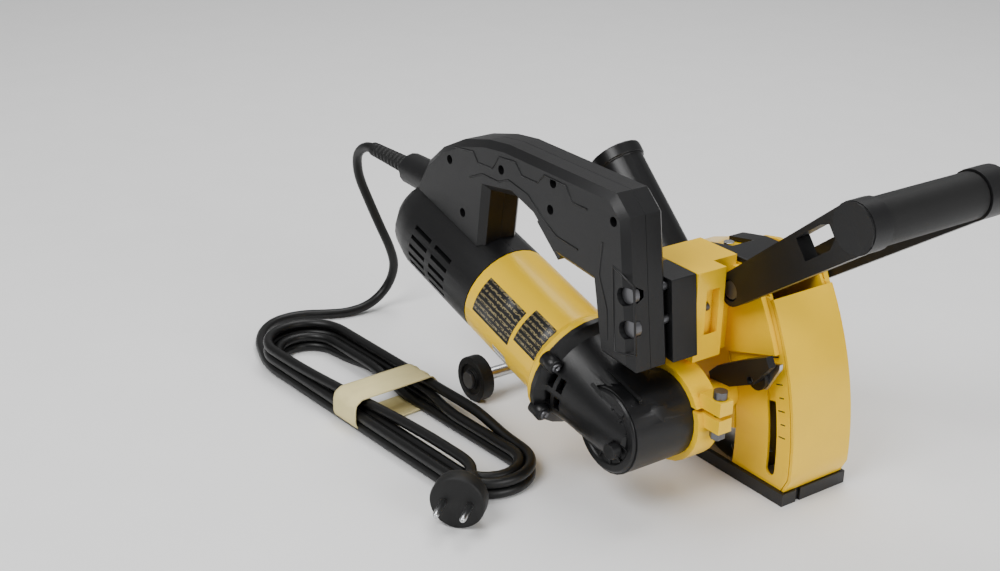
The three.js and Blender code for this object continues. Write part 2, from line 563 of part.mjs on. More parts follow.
function buildCord() {
  const path = new THREE.CatmullRomCurve3(LEAD.map((point) => new THREE.Vector3(...point)));
  const section = new THREE.Shape(arc(0, 0, CORD.r, 0, 315, 7).map(([x, y]) => new THREE.Vector2(x, y)));
  const lead = solid(new THREE.ExtrudeGeometry(section, { steps: 44, extrudePath: path }));
  piece('cord_lead', lead.intersect(box(-600, 0, -300, 100, 0.01, 300)), RUBBER);
  const lay = Math.atan2(HANK.y1 - HANK.y0, HANK.x1 - HANK.x0) / DEG;
  const outline = [
    ...arc(HANK.x0, -HANK.y0, HANK.half, 90 - lay, 270 - lay, 12),
    ...arc(HANK.x1, -HANK.y1, HANK.half, -90 - lay, 90 - lay, 12),
  ].map(([x, y]) => new THREE.Vector2(x, -y)).reverse();
  const bundle = solid(new THREE.ExtrudeGeometry(new THREE.Shape(outline), { depth: HANK.height, bevelEnabled: false }));
  const tieAt = { x: -275, y: -158.5 };
  const turn = new THREE.Matrix4().makeRotationZ(lay * DEG).setPosition(tieAt.x, tieAt.y, 0);
  const waist = move(box(-16, 16, -50, 50, -1, 1.2).add(box(-16, 16, -50, 50, HANK.height - 1.8, 40)), turn);
  const sides = move(box(-16, 16, 35.4, 50, -1, 40).add(box(-16, 16, -50, -35.4, -1, 40)), turn);
  piece('cord_hank', bundle.subtract(waist).subtract(sides), RUBBER);
  const band = box(-15.6, 15.6, -37.5, 37.5, 0, HANK.height + 0.6)
    .subtract(box(-20, 20, -35.7, 35.7, 0.9, HANK.height - 1.5));
  piece('cord_tie', move(band, turn), CREAM);
  const grip = new THREE.CylinderGeometry(12.5, 7, 20, 20).rotateZ(-Math.PI / 2).translate(10, 0, 0);
  const head = new THREE.CylinderGeometry(CORD.plugR, 17, 18, 24).rotateZ(-Math.PI / 2).translate(28.5, 0, 0);
  const pins = [-9.5, 9.5].map((y) => solid(new THREE.CylinderGeometry(2.4, 2.4, 21, 12).rotateZ(-Math.PI / 2)
    .translate(47, y, 0)));
  const placed = new THREE.Matrix4().makeRotationZ(-50 * DEG).setPosition(-127, -179.8, CORD.plugR + 0.2);
  piece('plug', move(union([solid(grip), solid(head), ...pins]), placed), RUBBER);
}

buildBase();
buildHood();
buildHandle();
buildGearCase();
buildMotor();
buildArmature();
buildSpindle();
buildFrontHandle();
buildCord();

export default model;
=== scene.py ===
"""Twin-disc wall chaser: visual pieces, finishes, lead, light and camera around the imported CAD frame.

Lengths are written in millimetres in the part's working frame and turned into metres by `at`.
"""

from __future__ import annotations

import json
import logging
import math
from dataclasses import dataclass, field
from enum import Enum

import bmesh
import bpy
from mathutils import Matrix, Vector

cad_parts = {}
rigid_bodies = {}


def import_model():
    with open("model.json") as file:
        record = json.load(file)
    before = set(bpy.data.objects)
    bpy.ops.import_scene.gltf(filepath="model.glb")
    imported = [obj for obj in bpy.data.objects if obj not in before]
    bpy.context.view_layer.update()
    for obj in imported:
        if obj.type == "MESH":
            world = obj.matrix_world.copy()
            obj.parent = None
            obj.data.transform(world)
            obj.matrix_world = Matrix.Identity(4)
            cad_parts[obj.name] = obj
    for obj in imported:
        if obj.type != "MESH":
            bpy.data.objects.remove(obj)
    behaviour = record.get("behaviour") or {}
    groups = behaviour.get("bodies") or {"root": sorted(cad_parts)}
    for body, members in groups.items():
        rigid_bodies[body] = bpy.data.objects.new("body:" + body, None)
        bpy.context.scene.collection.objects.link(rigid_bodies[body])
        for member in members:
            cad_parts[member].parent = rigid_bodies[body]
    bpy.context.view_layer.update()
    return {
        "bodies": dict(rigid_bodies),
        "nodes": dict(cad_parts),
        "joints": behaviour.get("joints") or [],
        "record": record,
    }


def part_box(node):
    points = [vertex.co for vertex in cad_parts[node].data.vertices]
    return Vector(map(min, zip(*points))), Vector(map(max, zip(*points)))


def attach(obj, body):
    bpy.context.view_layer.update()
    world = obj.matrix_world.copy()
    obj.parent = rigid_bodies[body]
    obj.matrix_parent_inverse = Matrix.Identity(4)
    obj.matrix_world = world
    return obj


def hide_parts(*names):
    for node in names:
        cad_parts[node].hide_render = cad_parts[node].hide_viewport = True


LOG = logging.getLogger("wall_chaser")

SHIFT = Vector((134.25, 16.55, 0.0))
MM = 0.001

SPINDLE = Vector((-65.7, -84.1, 64.2))
MOTOR_TILT = math.radians(15.3)
PIVOT = Vector((-237.0, 32.0, 28.0))
CORD_DIAMETER = 8.2
HANK_REAR = Vector((-385.0, -166.0, 0.0))
HANK_FRONT = Vector((-152.0, -150.0, 0.0))
TIE_AT = Vector((-275.0, -158.5, 0.0))
PLUG_AT = Vector((-127.0, -179.8, 20.2))
PLUG_TURN = math.radians(-50.0)

Colour = tuple[float, float, float]


class Group(Enum):
    """Shared shader effects, one node group each."""

    GRAIN = "moulded_grain"
    MOTTLE = "tone_mottle"
    PRINT = "printed_rows"


def at(x: float, y: float, z: float) -> Vector:
    """Turn a point of the working frame into the finished frame.

    Args:
        x: Forward, in millimetres.
        y: To the far side, in millimetres.
        z: Up, in millimetres.

    Returns:
        The point in metres.
    """
    return (Vector((x, y, z)) + SHIFT) * MM


def motor_matrix() -> Matrix:
    """Give the motor's frame: x runs forward along the motor's axis, y sideways, z up from it.

    Returns:
        The matrix that takes millimetres in the motor's frame to metres in the finished frame.
    """
    place = Matrix.Translation(SPINDLE + SHIFT) @ Matrix.Rotation(MOTOR_TILT, 4, "Y")
    return Matrix.Scale(MM, 4) @ place


# ---- shader groups and finishes ---------------------------------------------------------------


def new_group(
    kind: Group, inputs: dict[str, tuple[str, float | Colour]], output: tuple[str, str],
) -> tuple[bpy.types.NodeTree, bpy.types.Node, bpy.types.Node]:
    """Make an empty shader node group with named sockets.

    Args:
        kind: Which effect it is.
        inputs: Socket name to (socket type, default).
        output: (name, socket type) of its only output.

    Returns:
        The group, its input node and its output node.
    """
    group = bpy.data.node_groups.new(kind.value, "ShaderNodeTree")
    for name, (socket_type, default) in inputs.items():
        socket = group.interface.new_socket(name, in_out="INPUT", socket_type=socket_type)
        if isinstance(default, tuple):
            socket.default_value = (*default, 1.0)
        else:
            socket.default_value = default
    group.interface.new_socket(output[0], in_out="OUTPUT", socket_type=output[1])
    return group, group.nodes.new("NodeGroupInput"), group.nodes.new("NodeGroupOutput")


def build_grain_group() -> None:
    """Build the moulded grain: two sizes of fine bumps that give a normal."""
    inputs = {"Scale": ("NodeSocketFloat", 900.0), "Strength": ("NodeSocketFloat", 0.2)}
    group, source, sink = new_group(Group.GRAIN, inputs, ("Normal", "NodeSocketVector"))
    nodes, links = group.nodes, group.links
    place = nodes.new("ShaderNodeTexCoord")
    fine = nodes.new("ShaderNodeTexNoise")
    fine.inputs["Detail"].default_value = 3.0
    coarse = nodes.new("ShaderNodeTexVoronoi")
    mix = nodes.new("ShaderNodeMath")
    mix.operation = "ADD"
    bump = nodes.new("ShaderNodeBump")
    bump.inputs["Distance"].default_value = 0.0003
    for texture in (fine, coarse):
        links.new(place.outputs["Object"], texture.inputs["Vector"])
        links.new(source.outputs["Scale"], texture.inputs["Scale"])
    links.new(fine.outputs["Fac"], mix.inputs[0])
    links.new(coarse.outputs["Distance"], mix.inputs[1])
    links.new(mix.outputs[0], bump.inputs["Height"])
    links.new(source.outputs["Strength"], bump.inputs["Strength"])
    links.new(bump.outputs["Normal"], sink.inputs["Normal"])


def build_mottle_group() -> None:
    """Build the tone mottle: a colour that drifts lighter and darker over the piece."""
    inputs = {
        "Color": ("NodeSocketColor", (0.5, 0.5, 0.5)),
        "Scale": ("NodeSocketFloat", 18.0),
        "Amount": ("NodeSocketFloat", 0.1),
    }
    group, source, sink = new_group(Group.MOTTLE, inputs, ("Color", "NodeSocketColor"))
    nodes, links = group.nodes, group.links
    place = nodes.new("ShaderNodeTexCoord")
    noise = nodes.new("ShaderNodeTexNoise")
    noise.inputs["Detail"].default_value = 5.0
    span = nodes.new("ShaderNodeMapRange")
    span.inputs["From Min"].default_value = 0.3
    span.inputs["From Max"].default_value = 0.7
    low = nodes.new("ShaderNodeMath")
    low.operation = "SUBTRACT"
    low.inputs[0].default_value = 1.0
    high = nodes.new("ShaderNodeMath")
    high.operation = "ADD"
    high.inputs[0].default_value = 1.0
    tint = nodes.new("ShaderNodeVectorMath")
    tint.operation = "SCALE"
    links.new(place.outputs["Object"], noise.inputs["Vector"])
    links.new(source.outputs["Scale"], noise.inputs["Scale"])
    links.new(source.outputs["Amount"], low.inputs[1])
    links.new(source.outputs["Amount"], high.inputs[1])
    links.new(noise.outputs["Fac"], span.inputs["Value"])
    links.new(low.outputs[0], span.inputs["To Min"])
    links.new(high.outputs[0], span.inputs["To Max"])
    links.new(source.outputs["Color"], tint.inputs[0])
    links.new(span.outputs["Result"], tint.inputs["Scale"])
    links.new(tint.outputs["Vector"], sink.inputs["Color"])


def build_print_group() -> None:
    """Build the printed rows: a mask of short dashes in lines that stand for small print."""
    inputs = {"Rows": ("NodeSocketFloat", 900.0), "Dashes": ("NodeSocketFloat", 700.0)}
    group, source, sink = new_group(Group.PRINT, inputs, ("Mask", "NodeSocketFloat"))
    nodes, links = group.nodes, group.links
    place = nodes.new("ShaderNodeUVMap")
    split = nodes.new("ShaderNodeSeparateXYZ")
    links.new(place.outputs["UV"], split.inputs["Vector"])
    rows = nodes.new("ShaderNodeMath")
    rows.operation = "MULTIPLY"
    links.new(split.outputs["Y"], rows.inputs[0])
    links.new(source.outputs["Rows"], rows.inputs[1])
    part = nodes.new("ShaderNodeMath")
    part.operation = "FRACT"
    links.new(rows.outputs[0], part.inputs[0])
    line = nodes.new("ShaderNodeMath")
    line.operation = "GREATER_THAN"
    line.inputs[1].default_value = 0.55
    links.new(part.outputs[0], line.inputs[0])
    noise = nodes.new("ShaderNodeTexNoise")
    noise.inputs["Detail"].default_value = 0.0
    links.new(place.outputs["UV"], noise.inputs["Vector"])
    links.new(source.outputs["Dashes"], noise.inputs["Scale"])
    dash = nodes.new("ShaderNodeMath")
    dash.operation = "GREATER_THAN"
    dash.inputs[1].default_value = 0.45
    links.new(noise.outputs["Fac"], dash.inputs[0])
    both = nodes.new("ShaderNodeMath")
    both.operation = "MULTIPLY"
    links.new(line.outputs[0], both.inputs[0])
    links.new(dash.outputs[0], both.inputs[1])
    links.new(both.outputs[0], sink.inputs["Mask"])


@dataclass(frozen=True)
class Finish:
    """A procedural surface: colour with a drift in tone, roughness and moulded grain.

    Attributes:
        name: Material name.
        colour: Linear base colour.
        roughness: Principled roughness.
        metallic: Principled metallic.
        grain: Size of the grain, as a texture scale.
        strength: Depth of the grain.
        mottle: How far the tone drifts.
        coat: Clear coat weight.
    """

    name: str
    colour: Colour
    roughness: float = 0.5
    metallic: float = 0.0
    grain: float = 900.0
    strength: float = 0.2
    mottle: float = 0.08
    coat: float = 0.0

    def material(self) -> bpy.types.Material:
        """Make the material, or give it back if it was made before.

        Returns:
            The material.
        """
        known = bpy.data.materials.get(self.name)
        if known:
            return known
        material = bpy.data.materials.new(self.name)
        material.use_nodes = True
        nodes, links = material.node_tree.nodes, material.node_tree.links
        shader = nodes["Principled BSDF"]
        shader.inputs["Roughness"].default_value = self.roughness
        shader.inputs["Metallic"].default_value = self.metallic
        shader.inputs["Coat Weight"].default_value = self.coat
        shader.inputs["Specular IOR Level"].default_value = 0.35
        grain = nodes.new("ShaderNodeGroup")
        grain.node_tree = bpy.data.node_groups[Group.GRAIN.value]
        grain.inputs["Scale"].default_value = self.grain
        grain.inputs["Strength"].default_value = self.strength
        links.new(grain.outputs["Normal"], shader.inputs["Normal"])
        mottle = nodes.new("ShaderNodeGroup")
        mottle.node_tree = bpy.data.node_groups[Group.MOTTLE.value]
        mottle.inputs["Color"].default_value = (*self.colour, 1.0)
        mottle.inputs["Amount"].default_value = self.mottle
        links.new(mottle.outputs["Color"], shader.inputs["Base Color"])
        return material


@dataclass(frozen=True)
class PrintFinish(Finish):
    """A label: the base colour with rows of small print marks.

    Attributes:
        ink: Colour of the marks.
        rows: How many rows to a unit of UV.
        dashes: How fine the breaks between the marks are.
    """

    ink: Colour = (0.5, 0.5, 0.5)
    rows: float = 8.0
    dashes: float = 40.0

    def material(self) -> bpy.types.Material:
        """Make the label's material.

        Returns:
            The material.
        """
        known = bpy.data.materials.get(self.name)
        if known:
            return known
        material = super().material()
        nodes, links = material.node_tree.nodes, material.node_tree.links
        shader = nodes["Principled BSDF"]
        marks = nodes.new("ShaderNodeGroup")
        marks.node_tree = bpy.data.node_groups[Group.PRINT.value]
        marks.inputs["Rows"].default_value = self.rows
        marks.inputs["Dashes"].default_value = self.dashes
        mix = nodes.new("ShaderNodeMix")
        mix.data_type = "RGBA"
        mix.inputs["A"].default_value = (*self.colour, 1.0)
        mix.inputs["B"].default_value = (*self.ink, 1.0)
        links.new(marks.outputs["Mask"], mix.inputs["Factor"])
        links.new(mix.outputs["Result"], shader.inputs["Base Color"])
        return material


YELLOW_PAINT = Finish("yellow_paint", (0.88, 0.54, 0.0), 0.3, 0.0, 420.0, 0.05, 0.05, 0.2)
YELLOW_PLASTIC = Finish("yellow_plastic", (0.88, 0.55, 0.0), 0.34, 0.0, 1400.0, 0.06, 0.04, 0.1)
BLACK_PLASTIC = Finish("black_plastic", (0.006, 0.006, 0.0065), 0.42, 0.0, 1500.0, 0.22, 0.2)
SATIN_BLACK = Finish("satin_black", (0.005, 0.005, 0.0055), 0.36, 0.0, 1000.0, 0.1, 0.2)
SOFT_RUBBER = Finish("soft_rubber", (0.005, 0.005, 0.005), 0.55, 0.0, 2200.0, 0.3, 0.25)
CORD_RUBBER = Finish("cord_rubber", (0.004, 0.004, 0.004), 0.42, 0.0, 700.0, 0.08, 0.3)
SHOE_PAINT = Finish("shoe_paint", (0.014, 0.014, 0.015), 0.4, 0.0, 800.0, 0.1, 0.2)
BRIGHT_STEEL = Finish("bright_steel", (0.55, 0.56, 0.57), 0.28, 1.0, 500.0, 0.05, 0.08)
DARK_STEEL = Finish("dark_steel", (0.06, 0.06, 0.065), 0.32, 1.0, 700.0, 0.08, 0.2)
COPPER = Finish("turned_copper", (0.72, 0.36, 0.18), 0.3, 1.0, 600.0, 0.06, 0.1)
CREAM_FELT = Finish("cream_felt", (0.78, 0.68, 0.34), 0.95, 0.0, 2600.0, 0.9, 0.14)
INK = Finish("scale_ink", (0.01, 0.01, 0.01), 0.6, 0.0, 900.0, 0.05, 0.1)
DARK_LABEL = PrintFinish(
    "dark_label", (0.012, 0.012, 0.013), 0.35, ink=(0.22, 0.18, 0.09), rows=7.0, dashes=22.0,
)
PALE_LABEL = PrintFinish("pale_label", (0.8, 0.8, 0.78), 0.4, ink=(0.02, 0.02, 0.02), rows=2.0, dashes=60.0)


# ---- mesh helpers -----------------------------------------------------------------------------


def mesh_object(name: str, mesh: bmesh.types.BMesh, finish: Finish, smooth: bool = True) -> bpy.types.Object:
    """Turn a bmesh in metres into a linked object with one finish.

    Args:
        name: Object and mesh name.
        mesh: The geometry, which is freed here.
        finish: Its finish.
        smooth: Whether its faces are shaded smooth.

    Returns:
        The new object, at the origin.
    """
    bmesh.ops.recalc_face_normals(mesh, faces=mesh.faces)
    for face in mesh.faces:
        face.smooth = smooth
    data = bpy.data.meshes.new(name)
    mesh.to_mesh(data)
    mesh.free()
    data.materials.append(finish.material())
    made = bpy.data.objects.new(name, data)
    bpy.context.scene.collection.objects.link(made)
    return made


def soften(piece: bpy.types.Object, width: float, segments: int = 2) -> None:
    """Round a piece's sharp edges with a bevel modifier.

    Args:
        piece: The object.
        width: Bevel width in millimetres.
        segments: Steps across the bevel.
    """
    weld = piece.modifiers.new("weld", "WELD")
    weld.merge_threshold = 0.00002
    bevel = piece.modifiers.new("edges", "BEVEL")
    bevel.width = width * MM
    bevel.segments = segments
    bevel.limit_method = "ANGLE"
    bevel.angle_limit = math.radians(32.0)
    bevel.harden_normals = True


def lathe(profile: list[tuple[float, float]], matrix: Matrix, steps: int = 96) -> bmesh.types.BMesh:
    """Turn a profile about the local x axis.

    Args:
        profile: (x, radius) pairs in millimetres, from one end to the other.
        matrix: Takes the local frame to metres in the finished frame.
        steps: Steps round the full turn.

    Returns:
        The closed or open turned surface.
    """
    mesh = bmesh.new()
    verts = [mesh.verts.new((x, 0.0, r)) for x, r in profile]
    edges = [mesh.edges.new(pair) for pair in zip(verts, verts[1:])]
    bmesh.ops.spin(mesh, geom=verts + edges, cent=(0, 0, 0), axis=(1, 0, 0), dvec=(0, 0, 0),
                   angle=math.tau, steps=steps, space=Matrix.Identity(4), use_merge=True)
    bmesh.ops.remove_doubles(mesh, verts=mesh.verts, dist=1e-4)
    mesh.transform(matrix)
    return mesh


def join(into: bmesh.types.BMesh, part: bmesh.types.BMesh) -> None:
    """Add one mesh to another.

    Args:
        into: The mesh that grows.
        part: The mesh that is added, which is freed here.
    """
    data = bpy.data.meshes.new("part")
    part.to_mesh(data)
    part.free()
    into.from_mesh(data)
    bpy.data.meshes.remove(data)


def wire(name: str, points: list[Vector], radius: float, finish: Finish, cyclic: bool = False,
         resolution: int = 6) -> bpy.types.Object:
    """Make a round bar that follows smooth points.

    Args:
        name: Object name.
        points: Points in metres.
        radius: Radius in millimetres.
        finish: Its finish.
        cyclic: Whether the ends join.
        resolution: Steps round the section, in quarters of a turn.

    Returns:
        The curve object.
    """
    data = bpy.data.curves.new(name, "CURVE")
    data.dimensions = "3D"
    data.bevel_depth = radius * MM
    data.bevel_resolution = resolution
    data.use_fill_caps = True
    spline = data.splines.new("POLY")
    spline.points.add(len(points) - 1)
    for spot, point in zip(spline.points, points):
        spot.co = (*point, 1.0)
    spline.use_cyclic_u = cyclic
    spline.use_smooth = True
    data.materials.append(finish.material())
    made = bpy.data.objects.new(name, data)
    bpy.context.scene.collection.objects.link(made)
    return made


def smooth_line(points: list[Vector], step: float) -> list[Vector]:
    """Run an even Catmull-Rom line through points.

    Args:
        points: The points to pass through.
        step: Rough distance between the points given back.

    Returns:
        Points along the line, ends included.
    """
    ends = [points[0] * 2 - points[1], *points, points[-1] * 2 - points[-2]]
    line = [points[0]]
    for a, b, c, d in zip(ends, ends[1:], ends[2:], ends[3:]):
        count = max(1, round((c - b).length / step))
        for i in range(1, count + 1):
            t = i / count
            line.append(0.5 * ((2 * b) + (c - a) * t + (2 * a - 5 * b + 4 * c - d) * t * t
                               + (3 * b - a - 3 * c + d) * t ** 3))
    return line


def ramp(value: float, start: float, end: float) -> float:
    """Ease from 0 to 1 as value passes from start to end.

    Args:
        value: Where it is.
        start: Where the change begins.
        end: Where it is complete.

    Returns:
        The eased share.
    """
    share = min(1.0, max(0.0, (value - start) / (end - start)))
    return share * share * (3 - 2 * share)


# ---- the lead ---------------------------------------------------------------------------------


@dataclass
class Lead:
    """The mains lead: one unbroken line from the sleeve through the hank to the plug.

    Attributes:
        outer: Radius of the hank's outer turns.
        inner: Radius of its inner turns.
        layers: Heights of its three layers.
    """

    outer: float = 33.5
    inner: float = 25.1
    layers: tuple[float, float, float] = (4.5, 12.9, 21.3)
    DROP = (
        (-411.5, -84.1, 167), (-421, -84.1, 166), (-432.5, -84, 160.5), (-442.2, -82.3, 150),
        (-446.5, -78, 131), (-445, -69, 106),
        (-442, -60, 82), (-440.5, -51.5, 61), (-442, -46.5, 43), (-445, -49, 26.5), (-447, -59, 13.5),
        (-447.5, -74, 6.5), (-449.5, -92, 4.5), (-456, -109, 4.5), (-464, -124, 4.5), (-467.5, -140, 4.5),
        (-465, -156, 4.5), (-454, -172, 4.5), (-436, -185, 4.5), (-417, -192.5, 4.5), (-400, -197.6, 4.5),
    )

    def track(self, along: float, side: float, radius: float, height: float) -> Vector:
        """Give a point on a straight of the hank.

        Args:
            along: 0 at the rear fold's centre, 1 at the front fold's.
            side: -1 on the near side, +1 on the far side.
            radius: Distance from the hank's middle line.
            height: Height of the lead's centre.

        Returns:
            The point, in working millimetres.
        """
        run = (HANK_FRONT - HANK_REAR).normalized()
        across = Vector((-run.y, run.x, 0.0))
        spot = HANK_REAR.lerp(HANK_FRONT, along) + across * radius * side
        return Vector((spot.x, spot.y, height))

    def fold(self, front: bool, radius: float, height: float) -> list[Vector]:
        """Give the points of a half-turn at one end of the hank.

        Args:
            front: Whether it is the front end.
            radius: Its radius.
            height: Height of the lead's centre.

        Returns:
            Points in working millimetres.
        """
        run = (HANK_FRONT - HANK_REAR).normalized()
        heading = math.atan2(run.y, run.x)
        centre = HANK_FRONT if front else HANK_REAR
        start = heading - math.pi / 2 if front else heading + math.pi / 2
        turn = [start + math.pi * i / 12 for i in range(1, 12)]
        return [
            Vector((centre.x + radius * math.cos(a), centre.y + radius * math.sin(a), height)) for a in turn
        ]

    def hank(self) -> list[Vector]:
        """Lay the turns: out along the near side, back along the far side, changing track on the way.

        Returns:
            Points in working millimetres.
        """
        low, middle, high = self.layers
        out, inn = self.outer, self.inner
        shares = [i / 14 for i in range(15)]
        backs = [
            lambda t: (out + (inn - out) * ramp(t, 0.78, 1.0), low),
            lambda t: (inn, low + (middle - low) * ramp(t, 0.53, 0.77)),
            lambda t: (inn + (out - inn) * ramp(t, 0.28, 0.52), middle),
            lambda t: (out, middle + (high - middle) * ramp(t, 0.0, 0.26)),
        ]
        ends = [
            (out, low, inn, low), (inn, low, inn, middle),
            (inn, middle, out, middle), (out, middle, out, high),
        ]
        line: list[Vector] = []
        for back, (r0, z0, r1, z1) in zip(backs, ends):
            line += [self.track(t, -1, r0, z0) for t in shares]
            line += self.fold(True, r0, z0)
            line += [self.track(1 - t, 1, *back(t)) for t in shares]
            line += self.fold(False, r1, z1)
        leave = [self.track(t, -1, out + (20.0 - out) * ramp(t, 0.05, 0.9), high) for t in shares[:-1]]
        return line + leave

    def tail(self) -> list[Vector]:
        """Give the last bend from the hank into the plug.

        Returns:
            Points in working millimetres.
        """
        aim = Vector((math.cos(PLUG_TURN), math.sin(PLUG_TURN), 0.0))
        base = Vector((PLUG_AT.x, PLUG_AT.y, self.layers[2]))
        return [Vector((-149.5, -170.2, self.layers[2])), Vector((-137.2, -172.7, self.layers[2])),
                base - aim * 0.5]

    def build(self) -> None:
        """Make the lead, its sleeve, tie and plug."""
        route = [Vector(p) for p in self.DROP] + self.hank() + self.tail()
        line = [(p + SHIFT) * MM for p in smooth_line(route, 5.0)]
        lead = wire("mains_lead", line, CORD_DIAMETER / 2, CORD_RUBBER)
        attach(lead, "base")
        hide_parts("cord_lead", "cord_hank")
        tie = self.build_tie()
        plug, pins = self.build_plug()
        sleeve = self.build_sleeve()

    def build_tie(self) -> bpy.types.Object:
        """Wrap the felt tie round the hank.

        Returns:
            The tie.
        """
        run = (HANK_FRONT - HANK_REAR).normalized()
        across = Vector((-run.y, run.x, 0.0))
        corner, half_width, top = 8.0, 38.6, 26.6
        loop: list[tuple[float, float]] = []
        side_centre, base_centre = half_width - corner, corner + 1.9
        corners = (
            (side_centre, top - corner, 0), (-side_centre, top - corner, 90),
            (-side_centre, base_centre, 180), (side_centre, base_centre, 270),
        )
        for cx, cz, start in corners:
            for i in range(7):
                a = math.radians(start + 15 * i)
                loop.append((cx + corner * math.cos(a), cz + corner * math.sin(a)))
        mesh = bmesh.new()
        rings = []
        for step in range(13):
            along = -15.0 + 30.0 * step / 12
            sway = 0.35 * math.sin(along * 0.5)
            ring = []
            for index, (side, height) in enumerate(loop):
                wave = 0.25 * math.sin(index * 1.9 + along * 0.4) + sway
                point = TIE_AT + run * along + across * (side * (1 + wave / 60))
                ring.append(mesh.verts.new(((point + SHIFT) * MM) + Vector((0, 0, (height + wave) * MM))))
            rings.append(ring)
        for one, two in zip(rings, rings[1:]):
            for i in range(len(loop)):
                j = (i + 1) % len(loop)
                mesh.faces.new((one[i], one[j], two[j], two[i]))
        tie = mesh_object("lead_tie", mesh, CREAM_FELT)
        thick = tie.modifiers.new("cloth", "SOLIDIFY")
        thick.thickness = 1.1 * MM
        thick.offset = 1.0
        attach(tie, "base")
        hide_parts("cord_tie")
        return tie

    def build_plug(self) -> tuple[bpy.types.Object, bpy.types.Object]:
        """Make the round two-pin plug.

        Returns:
            Its moulded body and its pins.
        """
        place = Matrix.Scale(MM, 4) @ Matrix.Translation(PLUG_AT + SHIFT) @ Matrix.Rotation(PLUG_TURN, 4, "Z")
        grip = [
            (0, 0), (0, 6.4), (1.5, 7.2), (6, 7.8), (7, 6.9), (8.2, 8.4), (9.4, 7.6), (10.8, 9.4),
            (12, 8.8), (14, 11.2), (18, 12.4), (20, 13.6), (22, 17.6), (24, 19.4), (27, 19.9),
            (35.5, 19.9), (37, 19.2), (37.3, 18.4), (37.3, 0),
        ]
        body = lathe(grip, place, 72)
        plug = mesh_object("plug_body", body, SOFT_RUBBER)
        pins = bmesh.new()
        for side in (-9.5, 9.5):
            shank = lathe([(37, 0), (37, 2.4), (54, 2.4), (56.5, 2.0), (57.6, 1.2), (57.8, 0)],
                          place @ Matrix.Translation((0, side, 0)), 24)
            join(pins, shank)
        metal = mesh_object("plug_pins", pins, BRIGHT_STEEL)
        for piece in (plug, metal):
            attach(piece, "base")
        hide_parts("plug")
        return plug, metal

    def build_sleeve(self) -> bpy.types.Object:
        """Make the ribbed strain-relief sleeve.

        Returns:
            The sleeve.
        """
        profile = [(-321, 0), (-321, 7.2), (-352, 7.2)]
        for rib in range(9):
            x = -355 - rib * 5.6
            r = 7.3 - rib * 0.15
            profile += [(x, r), (x - 3.6, r - 0.05), (x - 4.0, r - 1.3), (x - 5.2, r - 1.35)]
        profile += [(-407, 6.0), (-411.2, 5.7), (-412, 5.2), (-412, 0)]
        place = Matrix.Scale(MM, 4) @ Matrix.Translation(Vector((0, -84.1, 167)) + SHIFT)
        sleeve = mesh_object("lead_sleeve", lathe(profile, place, 48), SOFT_RUBBER)
        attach(sleeve, "power_unit")
        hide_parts("cord_sleeve")
        return sleeve


# ---- sub-assemblies ---------------------------------------------------------------------------


@dataclass
class Assembly:
    """A sub-assembly: CAD nodes with their finishes, and the finer pieces added to them.

    Attributes:
        frame: What the frame loader gave.
        made: Objects finished so far.
    """

    frame: dict
    made: list[bpy.types.Object] = field(default_factory=list)

    def dress(self, finish: Finish, *nodes: str, edge: float = 0.7) -> None:
        """Give CAD nodes a finish and rounded edges.

        Args:
            finish: The finish.
            *nodes: Node names.
            edge: Bevel width in millimetres.
        """
        for name in nodes:
            piece = self.frame["nodes"][name]
            for polygon in piece.data.polygons:
                polygon.use_smooth = True
            if "custom_normal" in piece.data.attributes:
                piece.data.attributes.remove(piece.data.attributes["custom_normal"])
            piece.data.materials.clear()
            piece.data.materials.append(finish.material())
            soften(piece, edge)
            self.made.append(piece)

    def add(self, piece: bpy.types.Object, body: str, *replaced: str) -> bpy.types.Object:
        """Fix a finer piece to a moving body.

        Args:
            piece: The object.
            body: The body it rides.
            *replaced: CAD nodes it stands in for.

        Returns:
            The object.
        """
        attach(piece, body)
        if replaced:
            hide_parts(*replaced)
        self.made.append(piece)
        return piece

    def screw(self, name: str, head: Vector, along: Vector, radius: float, body: str) -> None:
        """Add a round screw head with a hexagonal socket.

        Args:
            name: Object name.
            head: Centre of the head's outer face, in metres.
            along: Outward direction.
            radius: Head radius in millimetres.
            body: The body it rides.
        """
        turn = along.to_track_quat("X", "Z").to_matrix().to_4x4()
        place = Matrix.Translation(head) @ turn @ Matrix.Scale(MM, 4)
        profile = [(-3.0, 0), (-3.0, radius), (-0.5, radius), (0, radius - 0.5), (0, radius * 0.5),
                   (-1.6, radius * 0.44), (-1.6, 0)]
        self.add(mesh_object(name, lathe(profile, place, 36), DARK_STEEL), body)


